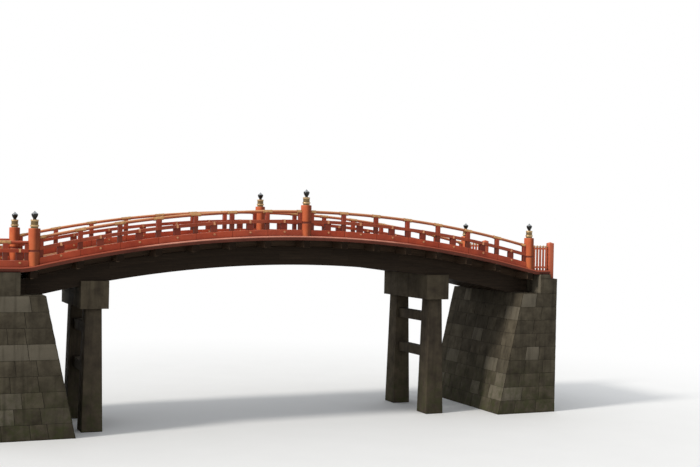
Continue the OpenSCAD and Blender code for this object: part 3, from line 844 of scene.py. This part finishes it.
def sleeves():
    """Gilt sleeves round the top rail, over every full post and beside the newels."""
    for side, y in RAILINGS.items():
        shape = Shape()
        for x in FULL_POSTS:
            shape.tube(*beaded(x - SLEEVE_LEN / 2, x + SLEEVE_LEN / 2), y, TOP_Z)
        for x in NEWELS.values():
            for way in (-1, 1):
                if abs(x + way) < END_X:
                    ends = x + way * (NEWEL_R - SLEEVE_BITE), x + way * (NEWEL_R + SLEEVE_LEN / 2)
                    shape.tube(*beaded(*sorted(ends)), y, TOP_Z)
        shape.piece(f"rail_sleeves_{side}_sheet", gold, "gilt_brass", [f"rail_sleeves_{side}"])


def rosette(shape, matrix):
    """Six-petalled nail cover that stands out along the matrix's Z."""
    rings = [(1.0, 0.0), (1.0, 0.008), (0.9, 0.016), (0.62, 0.013), (0.46, 0.012), (0.42, 0.026),
             (0.24, 0.036), (0.04, 0.040)]
    verts = []
    for share, out in rings:
        for a in around(COVER_SIDES):
            petal = 1 - 0.17 * abs(math.sin(3 * a)) ** 0.6 if share > 0.5 else 1.0
            reach = COVER_R * share * petal
            verts.append((reach * math.cos(a), reach * math.sin(a), out))
    shape.add(verts, skin(len(rings), COVER_SIDES), matrix)


def nail_covers(shape, x, y, deck_height):
    """One cover on each face of the base rail."""
    for face in (-1, 1):
        place = at(x, y + face * BASE_T / 2, deck_height + COVER_Z)
        rosette(shape, place @ Matrix.Rotation(-face * math.pi / 2, 4, "X"))


def fittings():
    """Nail covers on both faces of the base rail and clasps over the middle rail."""
    rim_cut, rim_out = 0.006, 0.042
    for side, y in RAILINGS.items():
        covers, clasps = Shape(), Shape()
        for x in SHORT_POSTS:
            nail_covers(covers, x, y, deck_z(x))
            middle = at(x, y, deck_z(x) + MID_Z + MID_H / 2, fall(x))
            clasps.block(CLASP, CLASP_CUT, middle)
            for way in (-1, 1):
                clasps.block(CLASP_RIM, rim_cut, middle @ Matrix.Translation((way * rim_out, 0, 0)))
        covers.piece(f"nail_covers_{side}", warm_gilt, "gilt_brass")
        clasps.piece(f"middle_rail_clasps_{side}", warm_gilt, "gilt_brass")


# Newels, as (radius, height) points over the deck or over the post's top

WAIST = [(NEWEL_R - inset, z) for inset, z in (
    (0.04, 0.613), (0.017, 0.615), (0.016, 0.640), (0.018, 0.660), (0.016, 0.680), (0.017, 0.705),
    (0.04, 0.707))]
NECK = [(NECK_R - 0.02, -0.005), (NECK_R, 0.0), (NECK_R, 0.374), (NECK_R - 0.010, 0.385), (0.09, 0.390),
        (0.05, 0.392)]
ONION = [(0.084, 0.384), (0.084, 0.396), (0.076, 0.402), (0.072, 0.422), (0.074, 0.444), (0.098, 0.478),
         (0.122, 0.520), (0.138, 0.560), (BULB_R - 0.003, 0.592), (BULB_R, 0.618), (BULB_R - 0.003, 0.640),
         (BULB_R - 0.012, 0.658), (0.126, 0.670), (0.108, 0.682), (0.089, 0.6935), (0.071, 0.706),
         (0.0555, 0.7195), (0.040, 0.734), (0.026, 0.750), (0.014, 0.766), (0.006, 0.779), (0.001, 0.785)]
NECK_RINGS = ((0.072, 0.072, 0.034), (0.306, 0.075, 0.014))


def shaft_outline(foot, top):
    """Turned post with a groove at its waist and a rounded shoulder."""
    r, bend = NEWEL_R, 0.045
    groove = [(r - inset, z) for inset, z in (
        (0, 0.603), (0.006, 0.609), (0.020, 0.616), (0.020, 0.704), (0.006, 0.711), (0, 0.717))]
    shoulder = [(r - bend * (1 - math.cos(a)), top - bend * (1 - math.sin(a)))
                for a in (math.radians(18 * k) for k in range(6))]
    return [(r, foot)] + groove + shoulder + [(0.02, top)]


def ring_outline(z, h, out):
    """Ring round the neck, h high from z up, with a roll along both its edges."""
    back, roll = NECK_R - 0.01, NECK_R + out
    band = roll - 0.004
    return [(back, z), (band, z), (roll, z + 0.010), (roll, z + 0.024), (band, z + 0.030),
            (band, z + h - 0.030), (roll, z + h - 0.024), (roll, z + h - 0.010), (band, z + h),
            (back, z + h)]


def newels():
    """Turned newel posts with a waist ring and an onion finial, the end ones taller and set deeper."""
    sunk, end_sunk = 0.02, 0.07
    for side, y in RAILINGS.items():
        for where, x in NEWELS.items():
            spot = f"{side}_{where}"
            top = NEWEL_H + (NEWEL_END_EXTRA if x else 0.0)
            post, cap = at(x, y, deck_z(x)), at(x, y, deck_z(x) + top)
            shaft = Shape().lathe(shaft_outline(-end_sunk if x else -sunk, top), post)
            shaft.piece(f"newel_{spot}_shaft", red_newel, "red_lacquer", [f"newel_{spot}"])
            Shape().lathe(WAIST, post).piece(f"newel_{spot}_waist", red_waist, "red_lacquer")
            Shape().lathe(NECK, cap).piece(f"finial_{spot}_neck", old_brass, "gilt_brass")
            body = Shape().lathe(ONION, cap)
            body.piece(f"finial_{spot}_bronze", bronze, "dark_bronze", [f"finial_{spot}"])
            rings = Shape()
            for ring in NECK_RINGS:
                rings.lathe(ring_outline(*ring), cap)
            rings.piece(f"finial_rings_{spot}", pale_gilt, "gilt_brass")


# Wings

def left_wing():
    """Level railing of the same make, two bays long."""
    in_sleeve, under_top = 0.015, 0.04
    head = TOP_Z - WING_DROP
    end = -END_X - 2 * WING_BAY
    run = [end - POST_W / 2, -END_X - NEWEL_R + SLEEVE_BITE]
    for side, y in RAILINGS.items():
        timber, metal, uprights = Shape(), Shape(), Shape()
        timber.sweep(base_outline(y), run, level_line)
        timber.sweep(middle_outline(y, WING_MID), run, level_line)
        timber.tube([end - POST_W + in_sleeve, run[1]], [TOP_R] * 2, y, head, level_line, no_fall)
        for x in (-END_X - WING_BAY, end):
            tall = head - under_top
            uprights.block((POST_W, POST_T, tall), POST_CUT, at(x, y, LEVEL_Z + tall / 2))
            ends = max(x - SLEEVE_LEN / 2, end - POST_W), x + SLEEVE_LEN / 2
            metal.tube(*beaded(*ends), y, head, level_line, no_fall)
        for x in (-END_X - WING_BAY / 2, end + WING_BAY / 2):
            short_post(uprights, x, y, LEVEL_Z, WING_MID)
            nail_covers(metal, x, y, LEVEL_Z)
            metal.block(CLASP, CLASP_CUT, at(x, y, LEVEL_Z + WING_MID + MID_H / 2))
        timber.piece(f"left_wing_{side}_rails", red_along, "red_lacquer", [f"left_wing_railing_{side}"])
        uprights.piece(f"left_wing_{side}_posts", red_upright, "red_lacquer")
        metal.piece(f"left_wing_{side}_fittings", gold, "gilt_brass")


def picket_head(shape, matrix, w, d, shoulder):
    """Sheet cap over a picket's head, w and d from its middle, with a ridge over its shoulders."""
    foot, ridge = -0.10, 0.003
    verts = [(-w, -d, foot), (w, -d, foot), (w, d, foot), (-w, d, foot),
             (-w, -d, shoulder), (w, -d, shoulder), (w, d, shoulder), (-w, d, shoulder),
             (0, -d, ridge), (0, d, ridge)]
    faces = [[0, 1, 2, 3], [0, 1, 5, 4], [1, 2, 6, 5], [2, 3, 7, 6], [3, 0, 4, 7],
             [4, 5, 8], [5, 6, 9, 8], [6, 7, 9], [7, 4, 8, 9]]
    shape.add(verts, faces, matrix)


def right_wing():
    """Short picket fence with gilt heads, up to the square end post."""
    x0, x1 = END_X + NEWEL_R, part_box("right_wing_fence_near")[1].x - CROWN_X
    count, height, width, depth, point, sheet = 5, 1.35, 0.11, 0.07, 0.045, 0.004
    rail, rail_in, cut, rail_cut = (x1 - x0 + 0.02, 0.05, 0.1), 0.17, 0.010, 0.008
    step = (x1 - x0) / count
    for side, y in RAILINGS.items():
        timber, metal = Shape(), Shape()
        for k in range(count):
            x = x0 + (k + 0.5) * step
            timber.block((width, depth, height - point), cut, at(x, y, LEVEL_Z + (height - point) / 2))
            picket_head(metal, at(x, y, LEVEL_Z + height), width / 2 + sheet, depth / 2 + sheet, -point)
        for z in (rail_in, height - rail_in):
            timber.block(rail, rail_cut, at((x0 + x1) / 2, y, LEVEL_Z + z))
        timber.piece(f"right_wing_{side}_pickets", red_fence, "red_lacquer", [f"right_wing_fence_{side}"])
        metal.piece(f"right_wing_{side}_heads", gold, "gilt_brass")
    eased_copy("right_end_posts", "right_end_posts_timber", 0.012, red_end_post)


# Masonry

def stone_face(shape, corners, normal):
    """One squared stone: a pillowed patch between four corners, with edges that run back to the wall."""
    across, up, joint, behind = 9, 7, 0.012, 0.01
    middle = sum(corners, Vector()) / 4
    inset = [c + (middle - c).normalized() * joint for c in corners]
    seed = Vector((dice.uniform(0, 50), dice.uniform(0, 50), dice.uniform(0, 50)))
    verts = []
    for j in range(up + 1):
        v = j / up
        for i in range(across + 1):
            u = i / across
            foot = inset[0] * (1 - u) * (1 - v) + inset[1] * u * (1 - v)
            point = foot + inset[2] * u * v + inset[3] * (1 - u) * v
            edge = min(u, 1 - u) * 4, min(v, 1 - v) * 4
            pillow = 0.55 + 0.45 * math.sqrt(min(1, edge[0])) * math.sqrt(min(1, edge[1]))
            waves = noise.noise(point * 2.2 + seed) * 0.012
            grit = noise.noise(point * 8.0 + seed) * 0.005
            verts.append(point + normal * (STONE_PROUD * pillow + (waves + grit)))
    n = across + 1
    faces = [[j * n + i, j * n + i + 1, (j + 1) * n + i + 1, (j + 1) * n + i]
             for j in range(up) for i in range(across)]
    rim = list(range(n)) + [j * n + across for j in range(1, up + 1)]
    rim += [up * n + i for i in range(across - 1, -1, -1)] + [j * n for j in range(up - 1, 0, -1)]
    start = len(verts)
    for i in rim:
        flat = verts[i] - normal * (verts[i] - middle).dot(normal)
        verts.append(flat - normal * behind)
    m = len(rim)
    faces += [[rim[k], rim[(k + 1) % m], start + (k + 1) % m, start + k] for k in range(m)]
    shape.add(verts, faces)


def wall(shape, place, normal, lo, hi, z0, z1):
    """Courses of squared stones on a flat face; lo and hi give its edges at each height."""
    stagger, uneven = 0.3, 0.2
    rows = max(1, round((z1 - z0) / COURSE_H))
    beds = [z0 + (z1 - z0) * k / rows for k in range(rows + 1)]
    for row, (a, b) in enumerate(zip(beds, beds[1:])):
        count = max(1, round((hi(a) - lo(a)) / STONE_LEN))
        shift = stagger if row % 2 else 0.0
        cuts = [(k + shift - stagger / 2 + dice.uniform(-uneven, uneven)) / count for k in range(1, count)]
        cuts = [0.0] + cuts + [1.0]
        for c0, c1 in zip(cuts, cuts[1:]):
            spots = [(c0, a), (c1, a), (c1, b), (c0, b)]
            corners = [Vector(place(lo(z) + (hi(z) - lo(z)) * c, z)) for c, z in spots]
            stone_face(shape, corners, Vector(normal))


def fixed(edge):
    """An edge that stands at the same place at every height."""
    return lambda height: edge


def abutment(where, s, reach, step):
    """Stones over the faces of an abutment: river side, flanks, back, seat, and the step at its head."""
    seat = deck_z(SEAT_X) + GIRDER_BOTTOM
    head = LEVEL_Z - EDGE_DEPTH
    slope = math.atan(SEAT_BATTER)
    wide = fixed(-ABUTMENT_Y), fixed(ABUTMENT_Y)
    brow = DECK_END if step else reach
    shape = Shape()

    def battered(z):
        return SEAT_X - (seat - z) * SEAT_BATTER

    def river_face(t, z):
        return (CROWN_X + s * battered(z), t, z)

    def upright(x):
        return lambda t, z: (CROWN_X + s * x, t, z)

    def level(z):
        return lambda t, x: (CROWN_X + s * x, t, z)

    def flank(side):
        return lambda t, z: (CROWN_X + s * t, side * ABUTMENT_Y, z)

    wall(shape, river_face, (-s * math.cos(slope), 0, math.sin(slope)), *wide, 0, seat)
    for side in (-1, 1):
        wall(shape, flank(side), (0, side, 0), battered, fixed(reach), 0, seat)
        wall(shape, flank(side), (0, side, 0), fixed(BACK_X), fixed(reach), seat, head - step)
    wall(shape, upright(reach), (s, 0, 0), *wide, 0, head - step)
    wall(shape, level(seat), (0, 0, 1), *wide, SEAT_X, BACK_X)
    wall(shape, upright(BACK_X), (-s, 0, 0), *wide, seat, head)
    if step:
        for side in (-1, 1):
            wall(shape, flank(side), (0, side, 0), fixed(BACK_X), fixed(brow), head - step, head)
        wall(shape, level(head - step), (0, 0, 1), *wide, brow, reach)
    under_deck = fixed(-DECK_EDGE), fixed(DECK_EDGE)
    wall(shape, upright(brow), (s, 0, 0), *under_deck, head - step, LEVEL_Z - BOARD_T)
    shape.piece(f"{where}_abutment_stones", squared, "abutment_stone", angle=60)


def piers():
    """Stones of both piers with worn edges."""
    for where in ("left", "right"):
        eased_copy(f"{where}_pier_posts", f"{where}_pier_posts_stone", 0.03, post_granite, 3)
        eased_copy(f"{where}_pier_ties", f"{where}_pier_ties_stone", 0.02, post_granite, 3)
        eased_copy(f"{where}_pier_cap", f"{where}_pier_cap_stone", 0.02, granite, 2)


def dress_nodes():
    """Finishes for the CAD solids that stay in view."""
    finishes = {"joists": black_along, "inner_girders": black_along, "outer_girders": black_along,
                "cross_beams": beam_sides_black_painted_light, "left_abutment": joints, "right_abutment": joints}
    for node, material in finishes.items():
        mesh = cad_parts[node].data
        mesh.materials.clear()
        mesh.materials.append(material)


# Stage

def sky():
    """Even pale light, white where it is seen directly or in gloss."""
    world = bpy.data.worlds.new("studio")
    bpy.context.scene.world = world
    world.use_nodes = True
    w = Wiring(world.node_tree)
    fill = w.node("ShaderNodeBackground", Color=(0.93, 0.96, 1.0, 1), Strength=FILL)
    white = w.node("ShaderNodeBackground", Color=(1, 1, 1, 1))
    w.node("ShaderNodeOutputWorld", Surface=w.either(w.seen(), fill, white))


def sun():
    """Warm sun with soft shadows, from the left and a little from the front."""
    lamp = bpy.data.lights.new("sun", "SUN")
    lamp.energy = SUN
    lamp.angle = math.radians(SUN_SPREAD)
    lamp.color = (1.0, 0.96, 0.90)
    obj = bpy.data.objects.new("sun", lamp)
    obj.rotation_mode = "QUATERNION"
    obj.rotation_quaternion = Vector(SUN_FROM).to_track_quat("Z", "Y")
    bpy.context.scene.collection.objects.link(obj)


def floor():
    """Pale floor that keeps the bridge's shadow and turns white far out."""
    r = 600
    mesh = bpy.data.meshes.new("floor")
    mesh.from_pydata([(-r, -r, 0), (r, -r, 0), (r, r, 0), (-r, r, 0)], [], [[0, 1, 2, 3]])
    obj = bpy.data.objects.new("floor", mesh)
    bpy.context.scene.collection.objects.link(obj)
    mesh.materials.append(pale_floor("pale_floor"))


def camera():
    """The photograph's standpoint: left of the bridge, level with its crown, rolled a little."""
    yaw, pitch, roll = (math.radians(a) for a in (YAW, PITCH, ROLL))
    ahead = Vector((math.sin(yaw) * math.cos(pitch), math.cos(yaw) * math.cos(pitch), math.sin(pitch)))
    right = Vector((math.cos(yaw), -math.sin(yaw), 0))
    up = right.cross(ahead)
    side = right * math.cos(roll) + up * math.sin(roll)
    top = up * math.cos(roll) - right * math.sin(roll)
    data = bpy.data.cameras.new("camera")
    data.sensor_width = 36
    data.lens = LENS
    data.clip_end = 2000
    obj = bpy.data.objects.new("camera", data)
    bpy.context.scene.collection.objects.link(obj)
    matrix = Matrix((side, top, -ahead)).transposed().to_4x4()
    matrix.translation = (CROWN_X + EYE[0], EYE[1], CROWN_Z + EYE[2])
    obj.matrix_world = matrix
    bpy.context.scene.camera = obj


camera()
sky()
sun()
floor()
dress_nodes()
deck()
edge_beams()
boarding()
infill()
beam_caps()
rails()
posts()
sleeves()
fittings()
newels()
left_wing()
right_wing()
piers()
abutment("left", -1, CROWN_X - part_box("left_abutment")[0].x, 0.0)
abutment("right", 1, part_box("right_abutment")[1].x - CROWN_X, POST_STEP - EDGE_DEPTH)

bpy.context.scene.view_settings.view_transform = "Standard"
bpy.context.view_layer.update()
